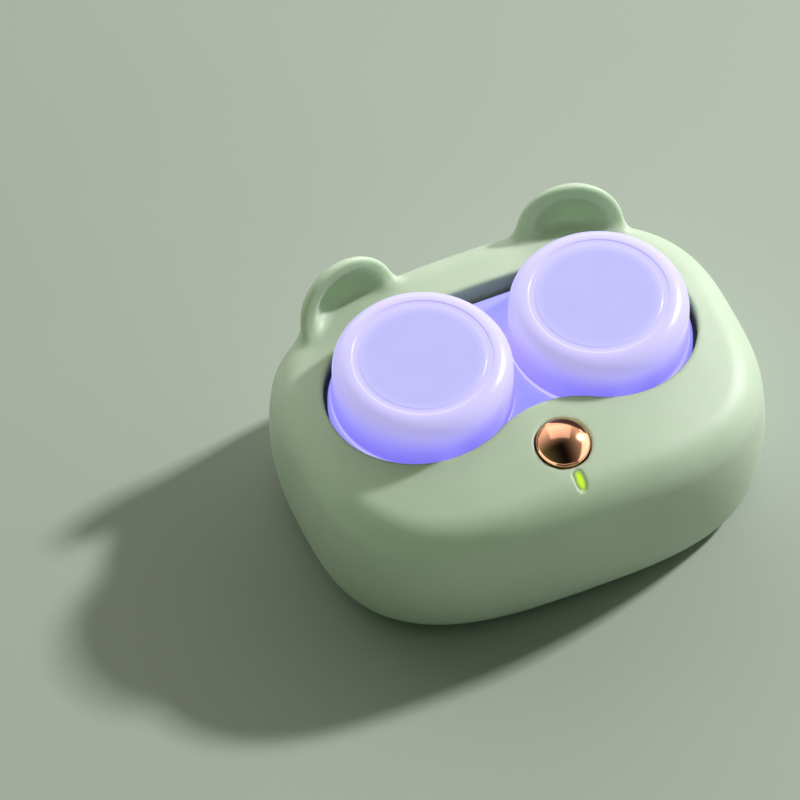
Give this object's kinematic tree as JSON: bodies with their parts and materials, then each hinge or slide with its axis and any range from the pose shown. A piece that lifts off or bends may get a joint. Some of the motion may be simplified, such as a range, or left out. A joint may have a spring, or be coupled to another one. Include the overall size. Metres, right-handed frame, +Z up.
{
  "type": "contact lens cleaner device",
  "caption": "Rounded table-top contact lens cleaner with two small ears, a lift-out lens case with screw caps, a domed button and a light.",
  "frame": {"origin": "centre of the case on the surface that it stands on", "axes": "+Z up, +X to the right, +Y to the back, where the ears and the charging socket are"},
  "size_m": [0.0792, 0.0594, 0.0352],
  "materials": {
    "board": "solder resist",
    "capacitor": "ceramic",
    "cell": "foil pouch",
    "ceramic": "silvered ceramic",
    "chip": "moulded epoxy",
    "copper": "polished copper plate",
    "cover": "fine texture",
    "ferrite": "sintered",
    "foam": "foam",
    "frosted": "frosted translucent violet-lit",
    "led": "encapsulated",
    "pipe": "clear moulded, lit green",
    "plunger": "moulded",
    "rubber": "matt",
    "screw": "zinc plated",
    "shell": "satin moulded sage green",
    "silicone": "matt silicone",
    "socket": "stamped",
    "steel": "stamped",
    "switch": "moulded",
    "tray": "frosted translucent",
    "wire": "silicone wire"
  },
  "bodies": {
    "case": {"base_cover": "cover", "battery": "cell", "battery_leads": "wire", "battery_pad": "foam", "board_screws": "screw", "capacitors": "capacitor", "case_screws": "screw", "control_chip": "chip", "driver_coil": "ferrite", "indicator_led": "led", "left_piezo_disc": "ceramic", "left_plate_gasket": "silicone", "left_sounder_leads": "wire", "left_vibration_plate": "steel", "light_board": "board", "light_leads": "wire", "light_pipe": "pipe", "light_screws": "screw", "main_board": "board", "recess_tray": "tray", "right_piezo_disc": "ceramic", "right_plate_gasket": "silicone", "right_sounder_leads": "wire", "right_vibration_plate": "steel", "rubber_feet": "rubber", "switch_board": "board", "switch_leads": "wire", "switch_screws": "screw", "tact_switch": "switch", "top_shell": "shell", "tray_screws": "screw", "usb_socket": "socket", "violet_leds": "led"},
    "lens_case": {"lens_case": "frosted"},
    "left_cap_seal": {"left_cap_seal": "silicone"},
    "left_cap": {"left_cap": "frosted"},
    "right_cap_seal": {"right_cap_seal": "silicone"},
    "right_cap": {"right_cap": "frosted"},
    "button": {"button_cap": "copper", "switch_plunger": "plunger"}
  },
  "joints": [
    {"name": "lens_case_lift", "type": "slide", "parent": "case", "child": "lens_case", "axis": [0, 0, 1], "range_m": [0, 0.025]},
    {"name": "left_cap_rise", "type": "slide", "parent": "lens_case", "child": "left_cap_seal", "axis": [0, 0, 1], "range_m": [0, 0.0101]},
    {"name": "left_cap_turn", "type": "hinge", "parent": "left_cap_seal", "child": "left_cap", "pos_m": [-0.01565, 0.00345, 0.03], "axis": [0, 0, 1], "range_deg": [0, 720]},
    {"name": "right_cap_rise", "type": "slide", "parent": "lens_case", "child": "right_cap_seal", "axis": [0, 0, 1], "range_m": [0, 0.0101]},
    {"name": "right_cap_turn", "type": "hinge", "parent": "right_cap_seal", "child": "right_cap", "pos_m": [0.01565, 0.00345, 0.03], "axis": [0, 0, 1], "range_deg": [0, 720]},
    {"name": "button_press", "type": "slide", "parent": "case", "child": "button", "axis": [0, 0.1521, -0.9884], "range_m": [0, 0.0005], "stiffness_N_per_m": 800}
  ],
  "couplings": [
    {"joint": "left_cap_rise", "follows": "left_cap_turn", "m_per_rad": 0.00079577},
    {"joint": "right_cap_rise", "follows": "right_cap_turn", "m_per_rad": 0.00079577}
  ]
}
